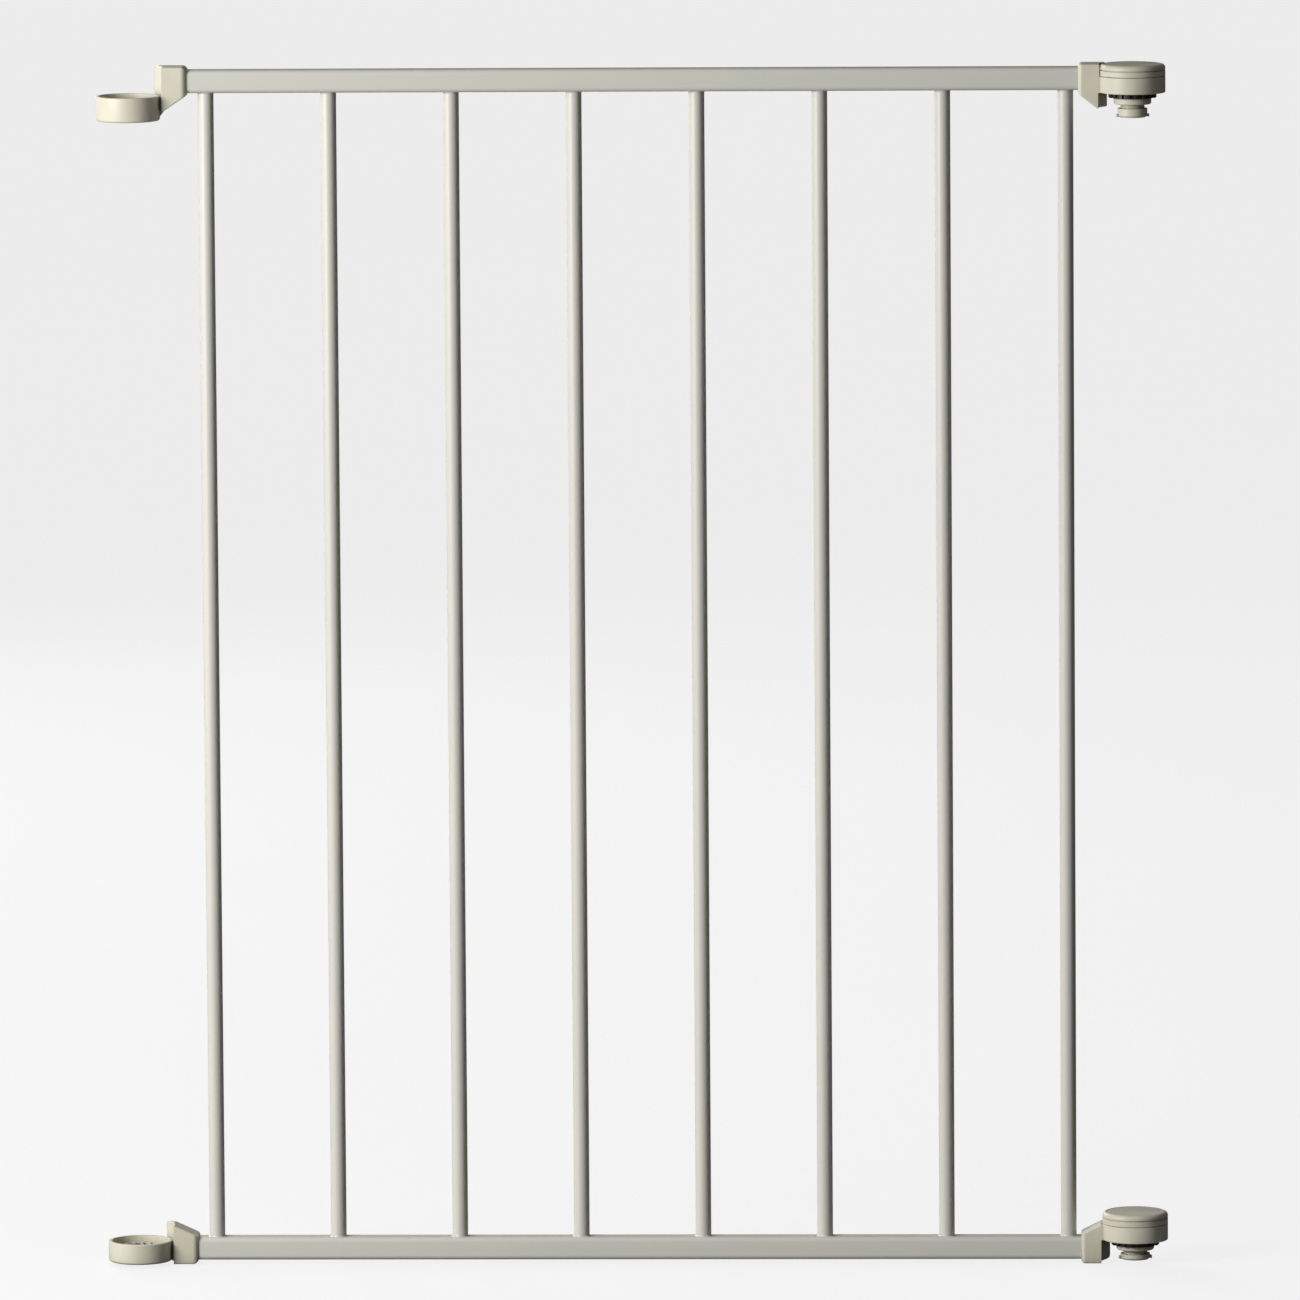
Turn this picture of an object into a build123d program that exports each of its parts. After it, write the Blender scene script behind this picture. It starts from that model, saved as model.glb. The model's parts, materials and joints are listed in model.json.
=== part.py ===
from build123d import *
import os
from math import cos, sin, radians

# Section of a configurable safety gate: two square rails, eight round bars,
# two ring sockets on the left and two turn-lock housings with bayonet spigots
# on the right.  All lengths in millimetres.
#
# Frame: X along the panel from the left joint axis to the right one, +Y to
# the rear, +Z up.  The origin is on the left joint axis, in the middle of the
# lower socket's throat.

os.makedirs("parts", exist_ok=True)

# ---------------------------------------------------------------- dimensions
pivot_span = 610.0          # left joint axis to right joint axis
rail_spacing = 718.0        # centre to centre of the two rails
rail = 14.0                 # square tube, outside
rail_wall = 1.2
rail_corner = 3.0
rail_y = 5.0                # the rails stand behind the joint axes

bar_d = 9.5                 # round tube
bar_wall = 1.0
bar_pitch = 74.6
bar_count = 8
first_bar = 47.1            # left joint axis to the first bar
bar_entry = 4.0             # how far a bar reaches past the rail's face

# joint planes, measured from the rail centre lines
upper_joint_drop = 8.4      # below the top rail's centre
lower_joint_rise = 5.4      # above the bottom rail's centre

# sockets: a cup whose throat takes the neighbouring section's spigot
ring_r = 19.5
ring_bore_r = 17.3
upper_ring_h = 15.0
lower_ring_h = 12.5
floor_t = 3.0
throat_r = 9.15
collar_r = 11.2
spline_ledge = 4.0          # depth of the splines below the rim
spline_tip_r = 13.3
spline_root_r = 14.95
spline_gap = 2.8

# turn-lock housings
shell_r = 20.0
shell_h = 10.1
deck_z0, deck_z1 = 6.9, 8.7
dial_z0 = 10.4
joint_top = 17.4            # top of the dial above the joint plane
cap_r = 17.6
lock_travel = 3.5           # travel of the toothed ring for a quarter turn
teeth = 18                  # locking steps of 20 degrees
tooth_tip_r = 14.6
tooth_w = 2.2
ring_body_r = 13.2
ring_bore = 11.7
post_r0, post_r1 = 13.4, 15.3
post_angles = (30.0, 150.0, 270.0)
post_half = 7.0             # half width of a post, degrees
cam_z = 12.8                # underside of the cam over a post at rest
spigot_r = 9.0
flange_r = 11.4
neck_r = 7.2
upper_flange_t, upper_spigot_l = 4.0, 15.0
lower_flange_t, lower_spigot_l = 3.0, 12.0
flange_drop = 3.0           # joint plane to the top of the flange
groove_h = 2.6
groove_r = 7.3              # neck between the flange and the tip
lug_r = 10.2                # bayonet lugs on the tip
lug_h = 1.6
channel_r = 10.45           # their channels and recess in a throat
recess_h = 2.6
channel_angles = (70.0, 250.0)
lug_angles = (9.0, 189.0)

# spring that lifts the toothed ring
spring_r = 9.6
spring_wire = 0.8
spring_turns = 4.5

# brackets
bracket_front = -4.5        # y of the front face
bracket_rear = 14.5
saddle_r = 21.2             # hollow that clears the neighbour's ring
dial_clear_r = 20.45
socket_end = 36.0           # rail-side end of a socket bracket
housing_end = 33.0          # rail-side end of a housing bracket
pocket_end = 23.2           # rail's end inside the bracket
pocket = 14.2
flat_rise = 9.0             # flat side of the bracket, from the rail centre
upper_gusset = 18.2         # pointed side, from the rail centre
lower_gusset = 14.8
horn_r = 4.6                # rounding of the horn beside the ring or dial
screw_u_socket = 29.0       # bracket screws, from the joint axis
screw_u_housing = 27.6

# ------------------------------------------------------------ derived places
upper_collar_drop = flange_drop + upper_flange_t + 0.2
lower_collar_drop = flange_drop + lower_flange_t + 0.2
lower_joint_z = (lower_collar_drop + lower_ring_h) / 2
z_bot = lower_joint_z - lower_joint_rise
z_top = z_bot + rail_spacing
upper_joint_z = z_top - upper_joint_drop
bar_x = [first_bar + bar_pitch * i for i in range(bar_count)]
rail_x0 = pocket_end
rail_x1 = pivot_span - pocket_end
front = Plane(origin=(0, bracket_front, 0), x_dir=(1, 0, 0), z_dir=(0, -1, 0))
rear = Plane(origin=(0, bracket_rear, 0), x_dir=(1, 0, 0), z_dir=(0, -1, 0))

print("joint planes z", round(lower_joint_z, 3), round(upper_joint_z, 3))
print("rail centres z", round(z_bot, 3), round(z_top, 3))
print("throat lengths", lower_ring_h - lower_collar_drop, upper_ring_h - upper_collar_drop)


def side(px):
    """Upright sketch plane through a joint axis: x outwards, y up."""
    return Plane(origin=(px, 0, 0), x_dir=(1, 0, 0), z_dir=(0, -1, 0))


def wedge(angle, half, r=30.0):
    """Corner points of a sector from the centre."""
    return [(0, 0),
            (r * cos(radians(angle - half)), r * sin(radians(angle - half))),
            (r * cos(radians(angle + half)), r * sin(radians(angle + half)))]


# --------------------------------------------------------------------- rails
def make_rail(z, up):
    """Square tube; up is +1 when the bars stand on it, -1 when they hang."""
    with BuildPart() as tube:
        with BuildSketch(Plane(origin=(rail_x0, rail_y, z), x_dir=(0, 1, 0), z_dir=(1, 0, 0))):
            RectangleRounded(rail, rail, rail_corner)
            RectangleRounded(rail - 2 * rail_wall, rail - 2 * rail_wall,
                             rail_corner - rail_wall, mode=Mode.SUBTRACT)
        extrude(amount=rail_x1 - rail_x0)
        # holes for the bars in the wall that faces the other rail
        with BuildSketch(Plane.XY.offset(z + up * (rail / 2 + 1))):
            with Locations(*[(x, rail_y) for x in bar_x]):
                Circle(bar_d / 2 + 0.08)
        extrude(amount=-up * (1 + rail_wall + 0.3), mode=Mode.SUBTRACT)
        # holes for the bracket screws in the rear wall
        with BuildSketch(Plane(origin=(0, rail_y + rail / 2 + 1, 0),
                               x_dir=(1, 0, 0), z_dir=(0, -1, 0))):
            with Locations((screw_u_socket, z), (pivot_span - screw_u_housing, z)):
                Circle(1.85)
        extrude(amount=1 + rail_wall + 0.3, mode=Mode.SUBTRACT)
    return tube


top_rail = make_rail(z_top, -1)
bottom_rail = make_rail(z_bot, 1)


# ---------------------------------------------------------------------- bars
bar_z0 = z_bot + rail / 2 - bar_entry
bar_z1 = z_top - rail / 2 + bar_entry


def make_bar(x):
    with BuildPart() as bar:
        with BuildSketch(Plane.XY.offset(bar_z0)):
            with Locations((x, rail_y)):
                Circle(bar_d / 2)
                Circle(bar_d / 2 - bar_wall, mode=Mode.SUBTRACT)
        extrude(amount=bar_z1 - bar_z0)
    return bar


bars = [make_bar(x) for x in bar_x]

# small concave weld fillet round each end of each bar
bead_r = bar_d / 2 + 1.2
with BuildPart() as weld_beads:
    for face_z, up in ((z_bot + rail / 2, 1), (z_top - rail / 2, -1)):
        for x in bar_x:
            with BuildSketch(Plane(origin=(x, rail_y, face_z), x_dir=(1, 0, 0),
                                   z_dir=(0, -1, 0))):
                with BuildLine():
                    Polyline((bar_d / 2, 1.2 * up), (bar_d / 2, -1.6 * up),
                             (bead_r, -1.6 * up), (bead_r, -0.3 * up))
                    ThreePointArc((bead_r, -0.3 * up), (bar_d / 2 + 0.45, 0.25 * up),
                                  (bar_d / 2, 1.2 * up))
                make_face()
            revolve(axis=Axis((x, rail_y, face_z), (0, 0, 1)))
    for z in (z_bot, z_top):
        with BuildSketch(Plane(origin=(rail_x0, rail_y, z), x_dir=(0, 1, 0), z_dir=(1, 0, 0))):
            RectangleRounded(rail, rail, rail_corner)
        extrude(amount=rail_x1 - rail_x0, mode=Mode.SUBTRACT)


# ------------------------------------------------------------------ brackets
def bracket_outline(px, out, z_rail, up, end, chin, corner_r, gusset_rise):
    """Front outline of a bracket; out is the way from the axis to the panel,
    up is +1 when the flat side is on top."""
    reach = end + 0.08      # the plan cuts the last bit off, square
    pts = [(14.0, flat_rise), (reach, flat_rise), (reach, -chin),
           (saddle_r - 0.2, -gusset_rise), (14.0, -gusset_rise)]
    radii = [horn_r, corner_r, 1.5, 2.2, 0]
    FilletPolyline(*[(px + out * u, z_rail + up * v) for u, v in pts],
                   radius=radii, close=True)


def bracket_plan(px, out, end, corner_r):
    """Plan outline: the two rail-side corners are rounded."""
    pts = [(14.0, bracket_front), (end, bracket_front), (end, bracket_rear),
           (14.0, bracket_rear)]
    FilletPolyline(*[(px + out * u, y) for u, y in pts],
                   radius=[0, corner_r, corner_r, 0], close=True)


def face_rims(block, px, reach):
    """Edges round the front and rear faces, without the ones that run into
    the rail-side rounding or lie on the joint side."""
    faces = block.faces().filter_by(Plane.XZ).sort_by(Axis.Y)
    return [e for face in (faces[0], faces[-1]) for e in face.edges()
            if 14.5 < abs(e.center().X - px)
            and not (abs(e.center().X - px) > reach - 0.2 and e.length > 1)]


# ------------------------------------------------------------------- sockets
def make_socket(zj, height, collar_drop, z_rail, up, gusset_rise, web):
    """Ring cup on the left joint axis with its bracket."""
    with BuildPart() as socket:
        # bracket
        with BuildSketch(front):
            with BuildLine():
                bracket_outline(0, 1, z_rail, up, socket_end, 8.0, 3.6, gusset_rise)
            make_face()
        extrude(amount=-(bracket_rear - bracket_front))
        with BuildSketch(Plane.XY.offset(z_rail - 30)):
            with BuildLine():
                bracket_plan(0, 1, socket_end, 3.6)
            make_face()
        extrude(amount=60, mode=Mode.INTERSECT)
        fillet(face_rims(socket, 0, socket_end - 3.6), radius=0.8)
        # saddle that clears the neighbouring housing
        with BuildSketch(Plane.XY.offset(z_rail - 30)):
            Circle(saddle_r)
        extrude(amount=60, mode=Mode.SUBTRACT)
        # web between the ring and the bracket
        with BuildSketch(Plane(origin=(0, -0.8, 0), x_dir=(1, 0, 0), z_dir=(0, -1, 0))):
            with BuildLine():
                FilletPolyline(*[(u, z_rail + v) for u, v in web], radius=0.8, close=True)
            make_face()
        extrude(amount=-12.8)
        # ring
        with BuildSketch(side(0)):
            with BuildLine():
                FilletPolyline((0, zj - height), (ring_r, zj - height), (ring_r, zj), (0, zj),
                               radius=[0, 1.4, 0.5, 0], close=True)
            make_face()
        revolve(axis=Axis((0, 0, zj), (0, 0, 1)))
        # cup
        with BuildSketch(Plane.XY.offset(zj)):
            Circle(ring_bore_r)
        extrude(amount=-spline_ledge, mode=Mode.SUBTRACT)
        with BuildSketch(Plane.XY.offset(zj - spline_ledge)):
            Circle(spline_tip_r)
            with PolarLocations((spline_tip_r + spline_root_r) / 2 - 0.2, teeth):
                Rectangle(spline_root_r - spline_tip_r + 0.4, spline_gap)
        extrude(amount=-(height - floor_t - spline_ledge), mode=Mode.SUBTRACT)
        # throat collar
        with BuildSketch(Plane.XY.offset(zj - height + floor_t)):
            Circle(collar_r)
        extrude(amount=height - floor_t - collar_drop)
        with BuildSketch(Plane.XY.offset(zj - height)):
            Circle(throat_r)
        extrude(amount=height - collar_drop, mode=Mode.SUBTRACT)
        # recess under the throat, where the spigot's lugs turn
        with BuildSketch(Plane.XY.offset(zj - height)):
            Circle(channel_r)
        extrude(amount=recess_h, mode=Mode.SUBTRACT)
        # two channels that let the lugs down
        with BuildSketch(Plane.XY.offset(zj - height)):
            for a in channel_angles:
                with BuildLine():
                    Polyline(*wedge(a, 13), close=True)
                make_face()
            Circle(channel_r, mode=Mode.INTERSECT)
            Circle(throat_r - 0.5, mode=Mode.SUBTRACT)
        extrude(amount=height - collar_drop, mode=Mode.SUBTRACT)
        # pocket for the rail's end
        with BuildSketch(Plane(origin=(pocket_end - 0.1, rail_y, z_rail),
                               x_dir=(0, 1, 0), z_dir=(1, 0, 0))):
            RectangleRounded(pocket, pocket, rail_corner + 0.1)
        extrude(amount=20, mode=Mode.SUBTRACT)
        # counterbored screw hole from the rear
        with Locations(Plane(origin=(screw_u_socket, bracket_rear, z_rail),
                             x_dir=(-1, 0, 0), z_dir=(0, 1, 0))):
            CounterBoreHole(radius=1.95, counter_bore_radius=3.7,
                            counter_bore_depth=1.2, depth=4)
    return socket


upper_web = [(15.5, -8.9), (24.5, -8.9), (24.5, -14.6), (19.6, -21.0), (15.5, -21.0)]
lower_web = [(15.5, 4.9), (24.5, 4.9), (24.5, -6.6), (15.5, -6.6)]
upper_socket = make_socket(upper_joint_z, upper_ring_h, upper_collar_drop,
                           z_top, 1, upper_gusset, upper_web)
lower_socket = make_socket(lower_joint_z, lower_ring_h, lower_collar_drop,
                           z_bot, -1, lower_gusset, lower_web)


# ------------------------------------------------------------------ housings
def make_housing(zj, z_rail, up, gusset_rise):
    """Round shell on the right joint axis with its bracket."""
    px = pivot_span
    z_low = z_rail - 30
    with BuildPart() as housing:
        # bracket
        with BuildSketch(front):
            with BuildLine():
                bracket_outline(px, -1, z_rail, up, housing_end, 8.8, 2.4, gusset_rise)
            make_face()
        extrude(amount=-(bracket_rear - bracket_front))
        with BuildSketch(Plane.XY.offset(z_low)):
            with BuildLine():
                bracket_plan(px, -1, housing_end, 2.6)
            make_face()
        extrude(amount=60, mode=Mode.INTERSECT)
        fillet(face_rims(housing, px, housing_end - 2.6), radius=0.8)
        # saddle under the joint plane and clearance round the dial
        with BuildSketch(Plane.XY.offset(z_low)):
            with Locations((px, 0)):
                Circle(saddle_r)
        extrude(amount=zj - z_low, mode=Mode.SUBTRACT)
        with BuildSketch(Plane.XY.offset(zj + shell_h)):
            with Locations((px, 0)):
                Circle(dial_clear_r)
        extrude(amount=30, mode=Mode.SUBTRACT)
        # shell
        with BuildSketch(side(px)):
            with BuildLine():
                FilletPolyline((0, zj), (shell_r, zj), (shell_r, zj + shell_h), (0, zj + shell_h),
                               radius=[0, 0.7, 0.25, 0], close=True)
            make_face()
        revolve(axis=Axis((px, 0, zj), (0, 0, 1)))
        # guide ring for the dial and hub tube
        with BuildSketch(Plane.XY.offset(zj + deck_z1)):
            with Locations((px, 0)):
                Circle(17.2)
        extrude(amount=12.5 - deck_z1)
        with BuildSketch(Plane.XY.offset(zj + deck_z1)):
            with Locations((px, 0)):
                Circle(15.9)
                Circle(5.0, mode=Mode.SUBTRACT)
        extrude(amount=12.5 - deck_z1, mode=Mode.SUBTRACT)
        with BuildSketch(Plane.XY.offset(zj + deck_z1)):
            with Locations((px, 0)):
                Circle(5.0)
        extrude(amount=13.3 - deck_z1)
        # cavity under the deck, with a smaller mouth
        with BuildSketch(Plane.XY.offset(zj + 1.8)):
            with Locations((px, 0)):
                Circle(17.8)
        extrude(amount=deck_z0 - 1.8, mode=Mode.SUBTRACT)
        with BuildSketch(Plane.XY.offset(zj)):
            with Locations((px, 0)):
                Circle(15.8)
        extrude(amount=1.8, mode=Mode.SUBTRACT)
        # windows in the deck for the posts of the toothed ring
        with BuildSketch(Plane(origin=(px, 0, zj + deck_z0))):
            for a in post_angles:
                with BuildLine():
                    Polyline(*wedge(a, post_half + 1.4), close=True)
                make_face()
            Circle(post_r1 + 0.35, mode=Mode.INTERSECT)
            Circle(post_r0 - 0.35, mode=Mode.SUBTRACT)
        extrude(amount=deck_z1 - deck_z0, mode=Mode.SUBTRACT)
        # key recesses for the spigot, and the spindle hole
        with BuildSketch(Plane(origin=(px, 0, zj + deck_z0))):
            with Locations((5.6, 0), (-5.6, 0)):
                Rectangle(2.2, 2.7)
        extrude(amount=0.9, mode=Mode.SUBTRACT)
        with BuildSketch(Plane(origin=(px, 0, zj))):
            Circle(2.2)
        extrude(amount=14, mode=Mode.SUBTRACT)
        # pocket for the rail's end
        with BuildSketch(Plane(origin=(px - pocket_end + 0.1, rail_y, z_rail),
                               x_dir=(0, 1, 0), z_dir=(1, 0, 0))):
            RectangleRounded(pocket, pocket, rail_corner + 0.1)
        extrude(amount=-20, mode=Mode.SUBTRACT)
        with Locations(Plane(origin=(px - screw_u_housing, bracket_rear, z_rail),
                             x_dir=(-1, 0, 0), z_dir=(0, 1, 0))):
            CounterBoreHole(radius=1.95, counter_bore_radius=3.7,
                            counter_bore_depth=1.2, depth=4)
    return housing


upper_housing = make_housing(upper_joint_z, z_top, 1, upper_gusset)
lower_housing = make_housing(lower_joint_z, z_bot, -1, lower_gusset)


# --------------------------------------------------------------------- dials
def sectors(angles, half, r_in, r_out):
    """Flat ring sectors, for use inside a sketch on the joint axis."""
    for angle in angles:
        Polygon(*wedge(angle, half), align=None)
    Circle(r_out, mode=Mode.INTERSECT)
    Circle(r_in, mode=Mode.SUBTRACT)


# the cam's ramps fall by the lock travel in a quarter turn
cam_half = 45 + post_half + 1
cam_fall = lock_travel * 2 * cam_half / 90
cam_low = cam_z - lock_travel * (90 + post_half + 1) / 90


def make_ramp(zj, angle):
    """Helical ramp over the post at this angle: a twisted sector cut off at both sides."""
    foot_at = Plane(origin=(pivot_span, 0, zj + cam_low))
    with BuildSketch(foot_at) as foot:
        sectors([angle + 45 + 2 * cam_half], cam_half, 13.3, 15.4)
    twisted = Solid.extrude_linear_with_rotation(
        foot.sketch.face(), foot_at.origin, (0, 0, cam_fall), -2 * cam_half)
    with BuildPart() as window:
        with BuildSketch(foot_at.offset(-1)):
            sectors([angle + 45], cam_half, 12.3, 16.4)
        extrude(amount=cam_fall + 2)
    return twisted.intersect(window.part.solid())


def make_dial(zj):
    px = pivot_span
    ramps = [make_ramp(zj, a) for a in post_angles]
    with BuildPart() as dial:
        with BuildSketch(side(px)):
            with BuildLine():
                Polyline((17.7, zj + dial_z0), (shell_r, zj + dial_z0),
                         (shell_r, zj + 13.5), (19.45, zj + 13.7), (19.45, zj + 14.1),
                         (shell_r, zj + 14.3), (shell_r, zj + 15.0))
                ThreePointArc((shell_r, zj + 15.0),
                              (17.6 + 2.4 * cos(radians(36)), zj + 15.0 + 2.4 * sin(radians(36))),
                              (17.6 + 2.4 * cos(radians(73)), zj + 15.0 + 2.4 * sin(radians(73))))
                Polyline((17.6 + 2.4 * cos(radians(73)), zj + 15.0 + 2.4 * sin(radians(73))),
                         (18.0, zj + joint_top), (cap_r + 0.1, zj + joint_top),
                         (cap_r + 0.1, zj + 16.1), (8.6, zj + 16.1), (8.6, zj + 13.0),
                         (5.3, zj + 13.0), (5.3, zj + 11.6), (10.1, zj + 11.6),
                         (10.1, zj + 14.2), (17.7, zj + 14.2), (17.7, zj + dial_z0))
            make_face()
        revolve(axis=Axis((px, 0, zj), (0, 0, 1)))
        # cam: the ramps and the blocks that join them to the dial
        for ramp in ramps:
            add(ramp)
        with BuildSketch(Plane(origin=(px, 0, zj + cam_low + cam_fall - 0.05))):
            sectors([a + 45 for a in post_angles], cam_half, 13.2, 15.5)
        extrude(amount=15.05 - cam_low - cam_fall)
    return dial


upper_lock_dial = make_dial(upper_joint_z)
lower_lock_dial = make_dial(lower_joint_z)


def make_cap(zj):
    with BuildPart() as cap:
        with BuildSketch(Plane(origin=(pivot_span, 0, zj + 16.1))):
            Circle(cap_r)
        extrude(amount=1.15)
        fillet(cap.edges().group_by(Axis.Z)[-1], radius=0.35)
        # clearance under the disc for the screw's head
        with BuildSketch(Plane(origin=(pivot_span, 0, zj + 16.1))):
            Circle(5.0)
        extrude(amount=0.3, mode=Mode.SUBTRACT)
    return cap


upper_dial_cap = make_cap(upper_joint_z)
lower_dial_cap = make_cap(lower_joint_z)


# -------------------------------------------------------------- toothed ring
def make_lock_ring(zj):
    with BuildPart() as ring:
        with BuildSketch(Plane(origin=(pivot_span, 0, zj - flange_drop))):
            Circle(ring_body_r)
        extrude(amount=flange_drop + 6.5)
        with BuildSketch(Plane(origin=(pivot_span, 0, zj - flange_drop))):
            with PolarLocations((13.0 + tooth_tip_r) / 2, teeth):
                RectangleRounded(tooth_tip_r - 13.0, tooth_w, 0.35)
        extrude(amount=5.0)
        with BuildSketch(Plane(origin=(pivot_span, 0, zj - flange_drop))):
            Circle(ring_bore)
        extrude(amount=flange_drop + 5.1, mode=Mode.SUBTRACT)
        with BuildSketch(Plane(origin=(pivot_span, 0, zj))):
            Circle(neck_r + 0.35)
        extrude(amount=10, mode=Mode.SUBTRACT)
        # tabs and posts
        for z0, z1 in ((5.1, 6.5), (5.1, cam_z - 0.45)):
            with BuildSketch(Plane(origin=(pivot_span, 0, zj + z0))):
                for a in post_angles:
                    with BuildLine():
                        Polyline(*wedge(a, post_half), close=True)
                    make_face()
                Circle(post_r1, mode=Mode.INTERSECT)
                Circle(12.9 if z1 < 7 else post_r0, mode=Mode.SUBTRACT)
            extrude(amount=z1 - z0)
    return ring


upper_lock_ring = make_lock_ring(upper_joint_z)
lower_lock_ring = make_lock_ring(lower_joint_z)


# ------------------------------------------------------------------- spigots
def make_spigot(zj, flange_t, length):
    px = pivot_span
    z_fl = zj - flange_drop
    z_groove = z_fl - flange_t
    z_end = zj - length
    tip = 1.2 if length > 13 else 0.9
    with BuildPart() as spigot:
        with BuildSketch(side(px)):
            with BuildLine():
                Polyline((0, zj + deck_z0), (neck_r, zj + deck_z0), (neck_r, z_fl),
                         (flange_r - 0.4, z_fl), (flange_r, z_fl - 0.4),
                         (flange_r, z_groove + 0.6), (flange_r - 0.6, z_groove),
                         (groove_r, z_groove), (groove_r, z_groove - groove_h),
                         (spigot_r, z_groove - groove_h), (spigot_r, z_end + tip),
                         (spigot_r - tip, z_end), (0, z_end), (0, zj + deck_z0))
            make_face()
        revolve(axis=Axis((px, 0, zj), (0, 0, 1)))
        # keys that sit in the deck
        with BuildSketch(Plane(origin=(px, 0, zj + deck_z0))):
            with Locations((5.6, 0), (-5.6, 0)):
                Rectangle(2.0, 2.5)
        extrude(amount=0.8)
        # bayonet lugs on the tip
        with BuildSketch(Plane(origin=(px, 0, z_end + 0.3))):
            for a in lug_angles:
                with BuildLine():
                    Polyline(*wedge(a, 11), close=True)
                make_face()
            Circle(lug_r, mode=Mode.INTERSECT)
            Circle(6.0, mode=Mode.SUBTRACT)
        extrude(amount=lug_h)
        # cored underside and pilot hole for the spindle screw
        with BuildSketch(Plane(origin=(px, 0, z_end))):
            Circle(4.6)
        extrude(amount=2.4, mode=Mode.SUBTRACT)
        with BuildSketch(Plane(origin=(px, 0, zj + deck_z0 + 1))):
            Circle(2.0)
        extrude(amount=-(deck_z0 + 1 + length - 4.6), mode=Mode.SUBTRACT)
    return spigot


upper_spigot = make_spigot(upper_joint_z, upper_flange_t, upper_spigot_l)
lower_spigot = make_spigot(lower_joint_z, lower_flange_t, lower_spigot_l)


# ------------------------------------------------------------ return springs
def make_spring(zj):
    z0 = zj - flange_drop + spring_wire / 2 + 0.02
    z1 = zj + 5.1 - spring_wire / 2 - 0.02
    with BuildPart() as spring:
        with BuildLine(Plane(origin=(pivot_span, 0, z0))) as coil:
            Helix(pitch=(z1 - z0) / spring_turns, height=z1 - z0, radius=spring_r)
        with BuildSketch(Plane(origin=coil.line @ 0, z_dir=coil.line % 0)):
            Circle(spring_wire / 2)
        sweep(path=coil.line, is_frenet=True)
    return spring


upper_return_spring = make_spring(upper_joint_z)
lower_return_spring = make_spring(lower_joint_z)


# -------------------------------------------------- spindle screws, washers
def make_washer(zj):
    with BuildPart() as washer:
        with BuildSketch(Plane(origin=(pivot_span, 0, zj + 13.3))):
            Circle(8.2)
            Circle(2.2, mode=Mode.SUBTRACT)
        extrude(amount=1.0)
        chamfer(washer.edges().filter_by(lambda e: e.length > 40).group_by(Axis.Z)[-1],
                length=0.2)
    return washer


def make_spindle_screw(zj, length):
    with BuildPart() as screw:
        with BuildSketch(Plane(origin=(pivot_span, 0, zj + 14.3))):
            Circle(3.6)
        extrude(amount=1.7)
        fillet(screw.edges().group_by(Axis.Z)[-1], radius=0.7)
        with BuildSketch(Plane(origin=(pivot_span, 0, zj + 14.3))):
            Circle(1.95)
        extrude(amount=-(14.3 + length - 5.0))
        chamfer(screw.edges().group_by(Axis.Z)[0], length=0.5)
        with BuildSketch(Plane(origin=(pivot_span, 0, zj + 16.0))):
            Rectangle(3.8, 0.8)
            Rectangle(0.8, 3.8)
        extrude(amount=-1.0, mode=Mode.SUBTRACT)
    return screw


upper_dial_washer = make_washer(upper_joint_z)
lower_dial_washer = make_washer(lower_joint_z)
upper_spindle_screw = make_spindle_screw(upper_joint_z, upper_spigot_l)
lower_spindle_screw = make_spindle_screw(lower_joint_z, lower_spigot_l)


# ------------------------------------------------------------ bracket screws
with BuildPart() as rail_screws:
    for x, z in ((screw_u_socket, z_top), (screw_u_socket, z_bot),
                 (pivot_span - screw_u_housing, z_top), (pivot_span - screw_u_housing, z_bot)):
        seat = bracket_rear - 1.2
        with BuildSketch(Plane(origin=(x, rail_y, z), x_dir=(1, 0, 0), z_dir=(0, 0, 1))):
            with BuildLine():
                y = seat - rail_y
                Polyline((0, y + 2.0), (0, y - 7.6), (1.7, y - 5.8), (1.7, y), (3.4, y),
                         (3.4, y + 0.9))
                ThreePointArc((3.4, y + 0.9), (2.55, y + 1.75), (0, y + 2.0))
            make_face()
        revolve(axis=Axis((x, rail_y, z), (0, 1, 0)))
        with BuildSketch(Plane(origin=(x, seat + 2.2, z), x_dir=(1, 0, 0), z_dir=(0, -1, 0))):
            Rectangle(3.4, 0.75)
            Rectangle(0.75, 3.4)
        extrude(amount=1.3, mode=Mode.SUBTRACT)


# -------------------------------------------------------------------- export
pieces = {
    "top_rail": top_rail,
    "bottom_rail": bottom_rail,
    "weld_beads": weld_beads,
    "upper_socket": upper_socket,
    "lower_socket": lower_socket,
    "upper_housing": upper_housing,
    "lower_housing": lower_housing,
    "upper_lock_dial": upper_lock_dial,
    "lower_lock_dial": lower_lock_dial,
    "upper_dial_cap": upper_dial_cap,
    "lower_dial_cap": lower_dial_cap,
    "upper_lock_ring": upper_lock_ring,
    "lower_lock_ring": lower_lock_ring,
    "upper_spigot": upper_spigot,
    "lower_spigot": lower_spigot,
    "upper_return_spring": upper_return_spring,
    "lower_return_spring": lower_return_spring,
    "upper_dial_washer": upper_dial_washer,
    "lower_dial_washer": lower_dial_washer,
    "upper_spindle_screw": upper_spindle_screw,
    "lower_spindle_screw": lower_spindle_screw,
    "rail_screws": rail_screws,
}
for number, bar in enumerate(bars, start=1):
    pieces["bar_%d" % number] = bar

for name, piece in pieces.items():
    piece.part.label = name
    export_step(piece.part, "parts/%s.step" % name)
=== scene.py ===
import json
import math

import bmesh
import bpy
from mathutils import Matrix, Vector

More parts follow.
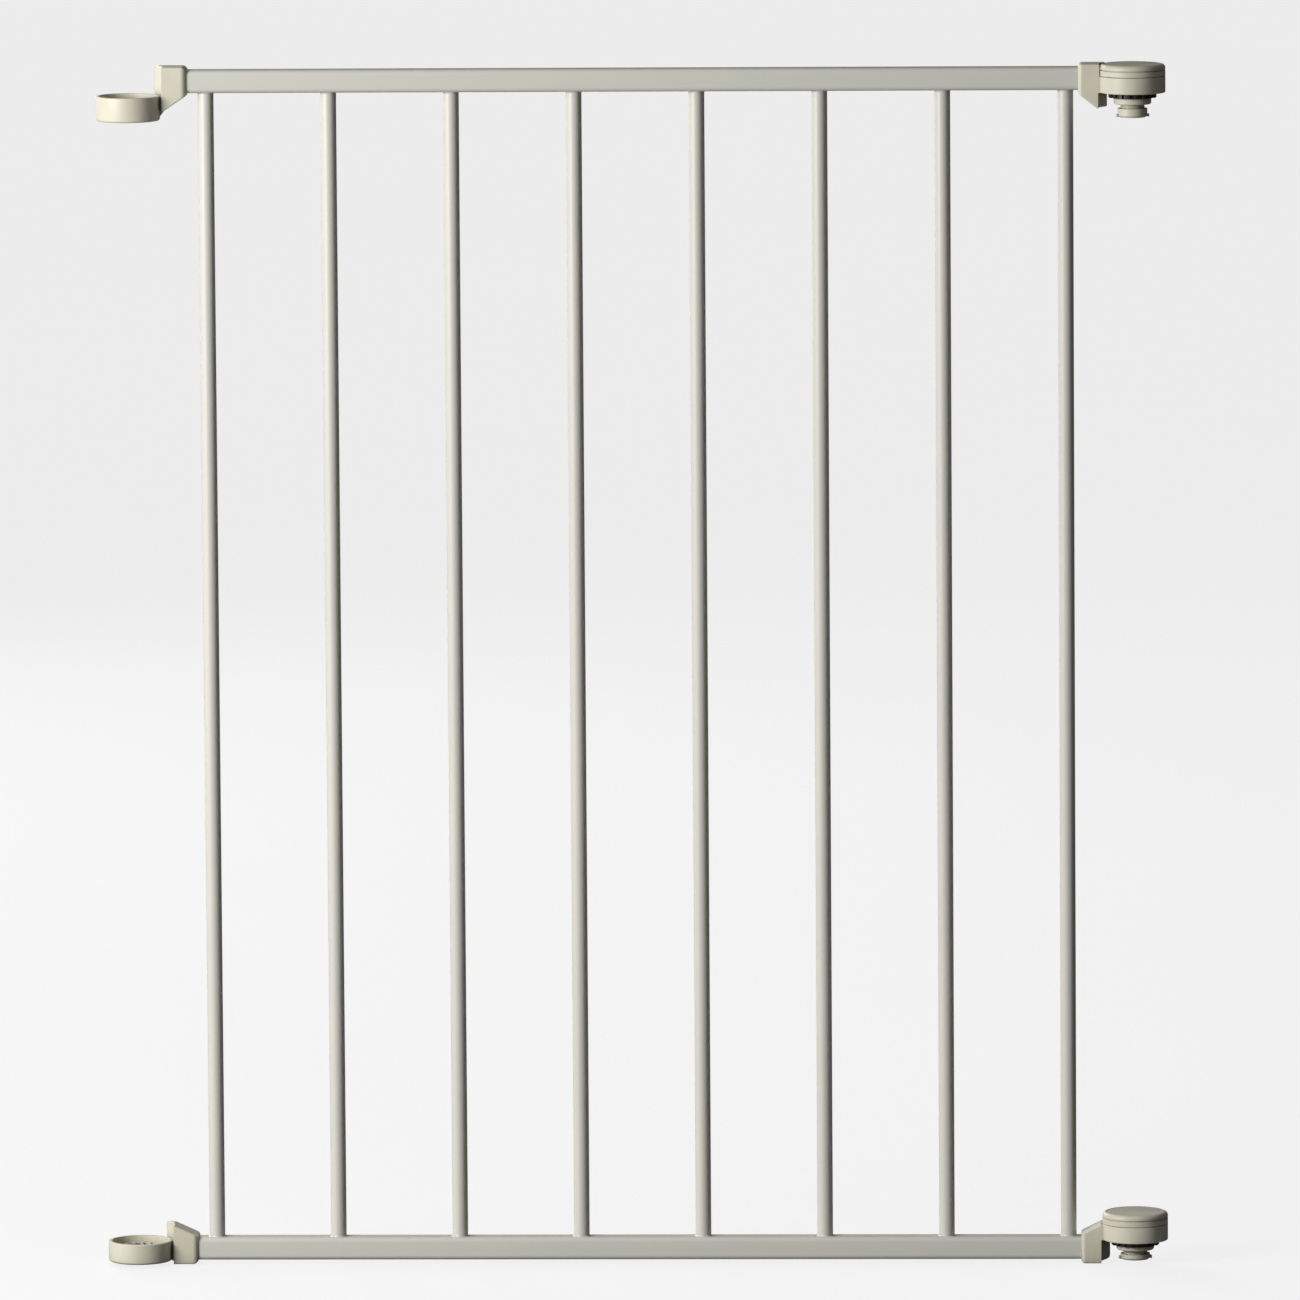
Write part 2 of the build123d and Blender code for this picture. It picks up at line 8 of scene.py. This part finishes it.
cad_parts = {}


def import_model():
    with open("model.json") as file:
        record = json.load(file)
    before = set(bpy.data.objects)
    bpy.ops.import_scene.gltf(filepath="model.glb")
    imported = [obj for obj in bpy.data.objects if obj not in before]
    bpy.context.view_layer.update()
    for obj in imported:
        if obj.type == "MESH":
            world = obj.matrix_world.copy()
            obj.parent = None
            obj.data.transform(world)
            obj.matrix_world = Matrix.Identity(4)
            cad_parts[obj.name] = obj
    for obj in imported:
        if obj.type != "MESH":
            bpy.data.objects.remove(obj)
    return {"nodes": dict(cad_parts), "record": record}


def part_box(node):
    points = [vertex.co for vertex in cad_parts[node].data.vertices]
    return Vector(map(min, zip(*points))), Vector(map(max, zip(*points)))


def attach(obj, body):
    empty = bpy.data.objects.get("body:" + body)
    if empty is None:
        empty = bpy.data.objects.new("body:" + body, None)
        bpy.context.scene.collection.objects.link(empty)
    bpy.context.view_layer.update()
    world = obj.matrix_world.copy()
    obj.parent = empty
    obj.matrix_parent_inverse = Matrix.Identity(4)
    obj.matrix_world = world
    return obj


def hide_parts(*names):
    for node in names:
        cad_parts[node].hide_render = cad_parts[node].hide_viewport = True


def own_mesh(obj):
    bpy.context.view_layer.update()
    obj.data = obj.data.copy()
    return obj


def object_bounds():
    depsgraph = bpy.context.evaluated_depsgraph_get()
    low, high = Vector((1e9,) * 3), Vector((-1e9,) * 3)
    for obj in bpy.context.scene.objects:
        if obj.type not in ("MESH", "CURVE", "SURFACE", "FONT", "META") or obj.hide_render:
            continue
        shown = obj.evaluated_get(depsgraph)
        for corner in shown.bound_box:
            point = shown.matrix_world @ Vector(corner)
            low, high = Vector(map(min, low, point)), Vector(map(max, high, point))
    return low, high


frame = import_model()
cad_lo, cad_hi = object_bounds()
nodes = frame["nodes"]

MM = 0.001


# ------------------------------------------------------------------ camera
# long lens from slightly above and a little to the right of square-on
def make_camera():
    psi, theta, roll = math.radians(2.0), math.radians(7.286), math.radians(-0.384)
    distance = 9.0
    target = Vector((0.31504, 0.005, 0.37284))
    f = Vector((-math.sin(psi) * math.cos(theta), math.cos(psi) * math.cos(theta), -math.sin(theta)))
    r = Vector((math.cos(psi), math.sin(psi), 0.0))
    u = r.cross(f)
    c, s = math.cos(roll), math.sin(roll)
    r2, u2 = c * r + s * u, -s * r + c * u
    rot = Matrix((r2, u2, -f)).transposed()
    cam = bpy.data.cameras.new("camera")
    cam.sensor_width = 36.0
    cam.lens = 36.0 * 1.6395 * distance * 1000 / 1300
    cam.clip_start, cam.clip_end = 0.05, 300.0
    ob = bpy.data.objects.new("camera", cam)
    ob.matrix_world = Matrix.Translation(target - distance * f) @ rot.to_4x4()
    bpy.context.scene.collection.objects.link(ob)
    bpy.context.scene.camera = ob


make_camera()


# --------------------------------------------------------------- materials
def lin(r, g, b):
    """sRGB 0..255 to linear."""
    def one(v):
        v /= 255.0
        return v / 12.92 if v <= 0.04045 else ((v + 0.055) / 1.055) ** 2.4
    return (one(r), one(g), one(b), 1.0)


class Tree:
    """A short way to wire a material."""

    def __init__(self, name):
        self.mat = bpy.data.materials.new(name)
        self.mat.use_nodes = True
        self.t = self.mat.node_tree
        self.t.nodes.clear()
        self.out = self.t.nodes.new("ShaderNodeOutputMaterial")
        self.bsdf = self.t.nodes.new("ShaderNodeBsdfPrincipled")
        self.link(self.bsdf.outputs["BSDF"], self.out.inputs["Surface"])
        self.coord = self.t.nodes.new("ShaderNodeTexCoord").outputs["Object"]

    def link(self, a, b):
        self.t.links.new(a, b)

    def node(self, kind, **kw):
        n = self.t.nodes.new(kind)
        for k, v in kw.items():
            setattr(n, k, v)
        return n

    def noise(self, scale, detail=2.0, rough=0.5, distortion=0.0, vector=None):
        n = self.node("ShaderNodeTexNoise")
        n.inputs["Scale"].default_value = scale
        n.inputs["Detail"].default_value = detail
        n.inputs["Roughness"].default_value = rough
        n.inputs["Distortion"].default_value = distortion
        self.link(vector or self.coord, n.inputs["Vector"])
        return n.outputs["Fac"]

    def voronoi(self, scale, vector=None):
        n = self.node("ShaderNodeTexVoronoi")
        n.inputs["Scale"].default_value = scale
        self.link(vector or self.coord, n.inputs["Vector"])
        return n.outputs["Distance"]

    def stretched(self, sx, sy, sz):
        m = self.node("ShaderNodeMapping")
        m.inputs["Scale"].default_value = (sx, sy, sz)
        self.link(self.coord, m.inputs["Vector"])
        return m.outputs["Vector"]

    def ramp(self, fac, lo, hi, a=0.0, b=1.0):
        n = self.node("ShaderNodeMapRange")
        n.inputs["From Min"].default_value, n.inputs["From Max"].default_value = lo, hi
        n.inputs["To Min"].default_value, n.inputs["To Max"].default_value = a, b
        self.link(fac, n.inputs["Value"])
        return n.outputs["Result"]

    def math(self, op, a, b):
        n = self.node("ShaderNodeMath", operation=op)
        for i, v in enumerate((a, b)):
            if isinstance(v, (int, float)):
                n.inputs[i].default_value = v
            else:
                self.link(v, n.inputs[i])
        return n.outputs[0]

    def mix(self, fac, a, b, blend="MIX"):
        n = self.node("ShaderNodeMix", data_type="RGBA", blend_type=blend)
        for key, v in (("Factor", fac), ("A", a), ("B", b)):
            socket = [s for s in n.inputs if s.name == key and s.enabled][0]
            if isinstance(v, (int, float)):
                socket.default_value = v
            elif isinstance(v, tuple):
                socket.default_value = v
            else:
                self.link(v, socket)
        return [s for s in n.outputs if s.enabled][0]

    def bump(self, height, distance, strength=1.0, normal=None):
        n = self.node("ShaderNodeBump")
        n.inputs["Strength"].default_value = strength
        n.inputs["Distance"].default_value = distance
        self.link(height, n.inputs["Height"])
        if normal is not None:
            self.link(normal, n.inputs["Normal"])
        return n.outputs["Normal"]

    def soft_edges(self, radius):
        n = self.node("ShaderNodeBevel", samples=4)
        n.inputs["Radius"].default_value = radius
        return n.outputs["Normal"]

    def edge_mask(self, edge_normal):
        """1 along convex and concave edges, 0 on open faces."""
        g = self.node("ShaderNodeNewGeometry").outputs["Normal"]
        d = self.node("ShaderNodeVectorMath", operation="DOT_PRODUCT")
        self.link(edge_normal, d.inputs[0])
        self.link(g, d.inputs[1])
        return self.ramp(d.outputs["Value"], 0.99, 0.86)

    # ambient occlusion mask, which the materials use to paint shade into crevices and recesses
    def crevice(self, distance):
        n = self.node("ShaderNodeAmbientOcclusion", samples=6)
        n.inputs["Distance"].default_value = distance
        return n.outputs["AO"]


def painted_steel():
    """Off-white powder coat: orange peel, faint long streaks, painted shade in the corners."""
    m = Tree("painted_steel")
    base, cool, warm = lin(221, 220, 211), lin(215, 216, 209), lin(223, 219, 206)
    col = m.mix(m.ramp(m.noise(9.0, 3), 0.38, 0.62), cool, warm)
    col = m.mix(0.55, col, base)
    # painted shade: ambient occlusion darkens crevices and corners toward a warm grey, mottled by fine noise
    crevice_shade = m.ramp(m.crevice(0.006), 0.25, 0.95, 1.0, 0.0)
    spotty = m.ramp(m.noise(420.0, 4, 0.65), 0.35, 0.75)
    crevice_shade = m.math("MULTIPLY", crevice_shade, m.ramp(spotty, 0.0, 1.0, 0.7, 1.0))
    col = m.mix(m.math("MULTIPLY", crevice_shade, 0.45), col, lin(128, 121, 106))
    specks = m.ramp(m.voronoi(240.0), 0.05, 0.02)
    col = m.mix(m.math("MULTIPLY", specks, 0.16), col, lin(150, 143, 128))
    m.link(col, m.bsdf.inputs["Base Color"])
    rough = m.ramp(m.noise(38.0, 4), 0.3, 0.7, 0.34, 0.43)
    rough = m.math("ADD", rough, m.ramp(m.noise(900.0, 2), 0.3, 0.7, -0.02, 0.03))
    m.link(rough, m.bsdf.inputs["Roughness"])
    m.bsdf.inputs["IOR"].default_value = 1.5
    m.bsdf.inputs["Coat Weight"].default_value = 0.12
    m.bsdf.inputs["Coat Roughness"].default_value = 0.22
    peel = m.noise(560.0, 2, 0.45)
    n = m.bump(peel, 0.00006, 0.55, m.soft_edges(0.0004))
    n = m.bump(m.noise(60.0, 2), 0.00012, 0.35, n)
    m.link(n, m.bsdf.inputs["Normal"])
    return m.mat


def weld_paint():
    """The same paint where it has run thick over the weld."""
    m = Tree("weld_paint")
    col = m.mix(m.ramp(m.noise(140.0, 3), 0.35, 0.65), lin(214, 213, 203), lin(222, 219, 208))
    # painted shade: ambient occlusion darkens the weld's crevices toward a brown-grey
    crevice_shade = m.ramp(m.crevice(0.004), 0.2, 0.9, 1.0, 0.0)
    col = m.mix(m.math("MULTIPLY", crevice_shade, 0.5), col, lin(120, 112, 98))
    m.link(col, m.bsdf.inputs["Base Color"])
    m.link(m.ramp(m.noise(300.0, 3), 0.3, 0.7, 0.3, 0.42), m.bsdf.inputs["Roughness"])
    m.bsdf.inputs["Coat Weight"].default_value = 0.15
    m.bsdf.inputs["Coat Roughness"].default_value = 0.2
    n = m.bump(m.noise(900.0, 3), 0.00008, 0.6)
    m.link(n, m.bsdf.inputs["Normal"])
    return m.mat


def moulded(name, a, b, shade_tint, rough_lo, rough_hi, grain=2600.0, grain_depth=0.00003, scuffs=0.25):
    """Injection-moulded plastic: fine spark-eroded grain, flow mottling, polished edges, scuffs, painted
    shade in crevices and deep recesses.
    """
    m = Tree(name)
    flow = m.noise(24.0, 4, 0.55, 0.8)
    col = m.mix(m.ramp(flow, 0.35, 0.65), a, b)
    cloud = m.ramp(m.noise(110.0, 3, 0.6), 0.35, 0.7)
    col = m.mix(m.math("MULTIPLY", cloud, 0.25), col, tuple(0.93 * v for v in a[:3]) + (1.0,))
    soft = m.soft_edges(0.0003)
    edge = m.edge_mask(soft)
    col = m.mix(m.math("MULTIPLY", edge, 0.18), col, tuple(min(1.0, 1.12 * v) for v in b[:3]) + (1.0,))
    # painted shade: near ambient occlusion darkens crevices toward the shade tint, mottled by noise
    crevice_shade = m.ramp(m.crevice(0.005), 0.2, 0.92, 1.0, 0.0)
    crevice_shade = m.math("MULTIPLY", crevice_shade, m.ramp(m.noise(380.0, 4, 0.6), 0.3, 0.7, 0.65, 1.0))
    col = m.mix(m.math("MULTIPLY", crevice_shade, 0.55), col, shade_tint)
    # painted shade: wide ambient occlusion darkens deep recesses under and between parts
    deep_shade = m.ramp(m.crevice(0.03), 0.1, 0.6, 1.0, 0.0)
    col = m.mix(m.math("MULTIPLY", deep_shade, 0.6), col, tuple(0.4 * v for v in shade_tint[:3]) + (1.0,))
    m.link(col, m.bsdf.inputs["Base Color"])
    rough = m.ramp(m.noise(70.0, 3), 0.3, 0.7, rough_lo, rough_hi)
    rough = m.math("SUBTRACT", rough, m.math("MULTIPLY", edge, 0.12))
    hair = m.noise(1.0, 3, 0.6, 0.0, m.stretched(900.0, 60.0, 240.0))
    scuff = m.math("MULTIPLY", m.ramp(hair, 0.62, 0.7), m.ramp(m.noise(45.0, 2), 0.5, 0.62))
    rough = m.math("ADD", rough, m.math("MULTIPLY", scuff, 0.5 * scuffs))
    m.link(rough, m.bsdf.inputs["Roughness"])
    m.bsdf.inputs["IOR"].default_value = 1.49
    height = m.math("ADD", m.noise(grain, 3, 0.6), m.math("MULTIPLY", m.voronoi(grain * 0.7), 0.5))
    n = m.bump(height, grain_depth, 0.5, soft)
    n = m.bump(m.noise(90.0, 2), 0.00008, 0.3, n)
    m.link(n, m.bsdf.inputs["Normal"])
    return m.mat


def zinc(name, tint, rough_lo, rough_hi, drawn=False):
    """Bright zinc or drawn wire: fine directional lines and cloudy passivation."""
    m = Tree(name)
    col = m.mix(m.ramp(m.noise(500.0, 4), 0.35, 0.65), tint, tuple(0.78 * v for v in tint[:3]) + (1.0,))
    # painted shade: ambient occlusion darkens the metal's crevices
    col = m.mix(m.math("MULTIPLY", m.ramp(m.crevice(0.002), 0.3, 1.0, 1.0, 0.0), 0.6), col, lin(52, 47, 40))
    m.link(col, m.bsdf.inputs["Base Color"])
    m.bsdf.inputs["Metallic"].default_value = 1.0
    lines = m.noise(1.0, 2, 0.5, 0.0, m.stretched(600.0, 600.0, 9000.0 if drawn else 5000.0))
    m.link(m.ramp(lines, 0.3, 0.7, rough_lo, rough_hi), m.bsdf.inputs["Roughness"])
    n = m.bump(lines, 0.00002, 0.4, m.soft_edges(0.00012))
    m.link(n, m.bsdf.inputs["Normal"])
    return m.mat


paint = painted_steel()
weld = weld_paint()
# the third colour of each plastic is the tint of its painted shade in crevices and recesses
ivory = moulded("ivory_plastic", lin(219, 215, 194), lin(224, 221, 203), lin(112, 104, 84), 0.42, 0.52)
dial = moulded("dial_plastic", lin(217, 213, 193), lin(222, 219, 202), lin(108, 100, 82), 0.38, 0.48)
dark = moulded("dark_plastic", lin(30, 29, 27), lin(38, 36, 33), lin(16, 15, 14), 0.36, 0.5,
               grain=1900.0, scuffs=0.5)
screw = zinc("zinc_steel", lin(188, 188, 184), 0.28, 0.42)
wire = zinc("spring_steel", lin(150, 150, 152), 0.25, 0.4, True)

LOOK = {"painted_steel": paint, "ivory_plastic": ivory, "dial_plastic": dial,
        "dark_plastic": dark, "zinc_steel": screw, "spring_steel": wire}


# ------------------------------------------------------- smooth CAD nodes
def smooth_by_angle(degrees):
    """Welds the CAD mesh's face borders and keeps only real corners sharp."""
    g = bpy.data.node_groups.new("smooth_by_angle", "GeometryNodeTree")
    g.interface.new_socket("Geometry", in_out="INPUT", socket_type="NodeSocketGeometry")
    g.interface.new_socket("Geometry", in_out="OUTPUT", socket_type="NodeSocketGeometry")
    n, l = g.nodes, g.links
    gi, go = n.new("NodeGroupInput"), n.new("NodeGroupOutput")
    merge = n.new("GeometryNodeMergeByDistance")
    merge.inputs["Distance"].default_value = 2e-6
    face = n.new("GeometryNodeSetShadeSmooth")
    face.domain = "FACE"
    face.inputs["Shade Smooth"].default_value = True
    angle = n.new("GeometryNodeInputMeshEdgeAngle")
    more = n.new("FunctionNodeCompare")
    more.operation = "GREATER_THAN"
    more.inputs[1].default_value = math.radians(degrees)
    edge = n.new("GeometryNodeSetShadeSmooth")
    edge.domain = "EDGE"
    edge.inputs["Shade Smooth"].default_value = False
    l.new(gi.outputs[0], merge.inputs["Geometry"])
    l.new(merge.outputs["Geometry"], face.inputs["Geometry"])
    l.new(face.outputs["Geometry"], edge.inputs["Geometry"])
    l.new(angle.outputs["Unsigned Angle"], more.inputs[0])
    l.new(more.outputs["Result"], edge.inputs["Selection"])
    l.new(edge.outputs["Geometry"], go.inputs[0])
    return g


smoother = smooth_by_angle(24)
slot_of = {s["node"]: s["material_slot"] for s in frame["record"]["subparts"]}
for name, ob in nodes.items():
    for key in ("custom_normal", "sharp_face", "sharp_edge"):
        if key in ob.data.attributes:
            ob.data.attributes.remove(ob.data.attributes[key])
    ob.data.materials.clear()
    ob.data.materials.append(LOOK[slot_of[name]])
    mod = ob.modifiers.new("smooth", "NODES")
    mod.node_group = smoother


# ---------------------------------------------------------- helper meshes
def to_object(bm, name, mat, sharp=35):
    me = bpy.data.meshes.new(name)
    bmesh.ops.recalc_face_normals(bm, faces=bm.faces)
    bm.to_mesh(me)
    bm.free()
    me.materials.append(mat)
    for p in me.polygons:
        p.use_smooth = True
    me.set_sharp_from_angle(angle=math.radians(sharp))
    ob = bpy.data.objects.new(name, me)
    bpy.context.scene.collection.objects.link(ob)
    return ob


def skin(bm, rings, closed_long=False, cap=True):
    """Quads between successive closed rings of vertices."""
    n = len(rings[0])
    pairs = list(zip(rings, rings[1:])) + ([(rings[-1], rings[0])] if closed_long else [])
    for a, b in pairs:
        for i in range(n):
            j = (i + 1) % n
            bm.faces.new((a[i], a[j], b[j], b[i]))
    if cap and not closed_long:
        bm.faces.new(list(reversed(rings[0])))
        bm.faces.new(rings[-1])


# -------------------------------------------------------------- the bars
def bar_mesh(name, node):
    """Round tube with 72 sides and a wall, in 24 straight lengths."""
    lo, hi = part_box(node)
    cx, cy = (lo.x + hi.x) / 2, (lo.y + hi.y) / 2
    r = (hi.x - lo.x) / 2
    wall = 1.0 * MM
    bm = bmesh.new()
    sides = 72
    stations = [lo.z + (hi.z - lo.z) * k / 24 for k in range(25)]
    outer, inner = [], []
    for z in stations:
        for rr, out in ((r, outer), (r - wall, inner)):
            out.append([bm.verts.new((cx + rr * math.cos(2 * math.pi * i / sides),
                                      cy + rr * math.sin(2 * math.pi * i / sides), z))
                        for i in range(sides)])
    skin(bm, outer + inner[::-1], closed_long=True, cap=False)
    return to_object(bm, name, paint)


for i in range(1, 9):
    ob = bar_mesh("bar_tube_%d" % i, "bar_%d" % i)
    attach(ob, "panel")
    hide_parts("bar_%d" % i)


# ---------------------------------------------------------- weld fillets
def weld_mesh():
    """Painted fillet weld round both ends of every bar: hollow face, uneven legs, fine ripples."""
    top_lo, top_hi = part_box("top_rail")
    bot_lo, bot_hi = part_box("bottom_rail")
    rail_y = (top_lo.y + top_hi.y) / 2
    corner, half = 3.0 * MM, 7.0 * MM
    bm = bmesh.new()
    around = 96
    for k in range(1, 9):
        lo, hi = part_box("bar_%d" % k)
        cx, r = (lo.x + hi.x) / 2, (hi.x - lo.x) / 2
        for face_z, up in ((bot_hi.z, 1.0), (top_lo.z, -1.0)):
            phase = 1.7 * k + (0.9 if up > 0 else 0.0)
            rings = []
            for i in range(around):
                t = 2 * math.pi * i / around
                uneven = (0.16 * math.sin(2 * t + phase) + 0.11 * math.sin(3 * t + 2.3 * phase)
                          + 0.07 * math.sin(5 * t + 0.7 * phase))
                ripple = 0.045 * math.sin(30 * t + 1.5 * math.sin(2 * t + phase))
                leg_up = (1.05 + uneven + ripple) * MM
                leg_out = (0.95 + 0.6 * uneven + ripple) * MM
                c, s = math.cos(t), math.sin(t)

                def drop(rad):
                    """How far the rail's rounded corner lies under its flat face there."""
                    y = abs(rad * s)
                    over = max(0.0, y - (half - corner))
                    return corner - math.sqrt(max(0.0, corner ** 2 - min(over, corner) ** 2))
                foot = r + leg_out
                pts = []
                steps = 7
                for q in range(steps + 1):
                    a = math.pi / 2 * q / steps
                    # hollow arc from the bar down to the rail
                    rad = r - 0.02 * MM + (leg_out + 0.02 * MM) * (1 - math.cos(a))
                    z = leg_up * (1 - math.sin(a)) - drop(foot) * math.sin(a) ** 2
                    pts.append((rad, z))
                pts.append((foot, -drop(foot) - 0.12 * MM))
                pts.append((r - 0.4 * MM, -0.9 * MM))
                rings.append([bm.verts.new((cx + rad * c, rail_y + rad * s, face_z + up * z))
                              for rad, z in pts])
            skin(bm, rings, closed_long=True, cap=False)
    return to_object(bm, "weld_fillets", weld, 60)


welds = weld_mesh()
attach(welds, "panel")
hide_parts("weld_beads")


# ---------------------------------------------------------- return springs
def spring_mesh(name, node):
    """Coil with closed, ground ends."""
    lo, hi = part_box(node)
    cx, cy = (lo.x + hi.x) / 2, (lo.y + hi.y) / 2
    wire_r = 0.4 * MM
    coil_r = 9.6 * MM
    z0, z1 = lo.z + wire_r, hi.z - wire_r
    turns, steps, sides = 5.5, 330, 12
    bm = bmesh.new()
    rings = []
    for i in range(steps + 1):
        f = i / steps
        # the first and last three quarters of a turn lie almost flat
        e = min(max((f * turns - 0.75) / (turns - 1.5), 0.0), 1.0)
        z = z0 + (z1 - z0) * (0.06 * f + 0.94 * e)
        t = 2 * math.pi * turns * f
        c, s = math.cos(t), math.sin(t)
        ring = []
        for j in range(sides):
            a = 2 * math.pi * j / sides
            rad = coil_r + wire_r * math.cos(a)
            ring.append(bm.verts.new((cx + rad * c, cy + rad * s, z + wire_r * math.sin(a))))
        rings.append(ring)
    skin(bm, rings)
    return to_object(bm, name, wire, 60)


for end in ("upper", "lower"):
    node = end + "_return_spring"
    ob = spring_mesh(end + "_spring_coil", node)
    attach(ob, "panel")
    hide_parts(node)
    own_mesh(ob)


# --------------------------------------------------------- floor and light
def stage():
    bm = bmesh.new()
    z = cad_lo.z - 0.0004
    ring = [bm.verts.new((0.3 + 60 * math.cos(2 * math.pi * i / 64), 60 * math.sin(2 * math.pi * i / 64), z))
            for i in range(64)]
    bm.faces.new(ring)
    m = Tree("floor")
    tone = m.mix(m.ramp(m.noise(1.3, 3), 0.3, 0.7), (0.115, 0.115, 0.115, 1), (0.125, 0.125, 0.125, 1))
    m.link(tone, m.bsdf.inputs["Base Color"])
    m.bsdf.inputs["Roughness"].default_value = 0.8
    m.bsdf.inputs["Specular IOR Level"].default_value = 0.2
    m.bsdf.inputs["Emission Color"].default_value = (1, 1, 1, 1)
    m.bsdf.inputs["Emission Strength"].default_value = 0.81
    floor = to_object(bm, "floor", m.mat)
    floor.visible_diffuse = False
    floor.visible_glossy = False


stage()


def area(name, at, look_at, size, power, colour):
    data = bpy.data.lights.new(name, "AREA")
    data.shape = "RECTANGLE"
    data.size, data.size_y = size
    data.energy = power
    data.color = colour
    ob = bpy.data.objects.new(name, data)
    ob.location = at
    ob.rotation_mode = "QUATERNION"
    ob.rotation_quaternion = (Vector(look_at) - Vector(at)).to_track_quat("-Z", "Y")
    bpy.context.scene.collection.objects.link(ob)
    return ob


# big soft box from the front left, a little above
area("key", (-1.5, -1.5, 1.02), (0.3, 0.0, 0.36), (0.8, 0.9), 54.5, (1.0, 0.99, 0.975))
# weak one behind, so the back isn't lost
area("back", (-1.1, 2.5, 1.3), (0.3, 0.0, 0.4), (1.4, 1.4), 30.0, (0.96, 0.98, 1.0))


def world():
    w = bpy.data.worlds.new("studio")
    bpy.context.scene.world = w
    w.use_nodes = True
    t = w.node_tree
    t.nodes.clear()
    out = t.nodes.new("ShaderNodeOutputWorld")
    coord = t.nodes.new("ShaderNodeTexCoord")
    split = t.nodes.new("ShaderNodeSeparateXYZ")
    t.links.new(coord.outputs["Generated"], split.inputs[0])
    # the room is brighter on the left than on the right
    side = t.nodes.new("ShaderNodeMapRange")
    side.inputs["From Min"].default_value, side.inputs["From Max"].default_value = -0.9, 0.9
    side.inputs["To Min"].default_value, side.inputs["To Max"].default_value = 0.30, 0.03
    t.links.new(split.outputs["X"], side.inputs["Value"])
    room = t.nodes.new("ShaderNodeBackground")
    room.inputs["Color"].default_value = (1.0, 1.0, 0.99, 1)
    t.links.new(side.outputs["Result"], room.inputs["Strength"])
    seen = t.nodes.new("ShaderNodeBackground")
    seen.inputs["Color"].default_value = (0.88, 0.88, 0.88, 1)
    path = t.nodes.new("ShaderNodeLightPath")
    mix = t.nodes.new("ShaderNodeMixShader")
    t.links.new(path.outputs["Is Camera Ray"], mix.inputs[0])
    t.links.new(room.outputs[0], mix.inputs[1])
    t.links.new(seen.outputs[0], mix.inputs[2])
    t.links.new(mix.outputs[0], out.inputs["Surface"])


world()
bpy.context.scene.view_settings.view_transform = "Standard"
bpy.context.scene.view_settings.look = "None"

bpy.context.view_layer.update()
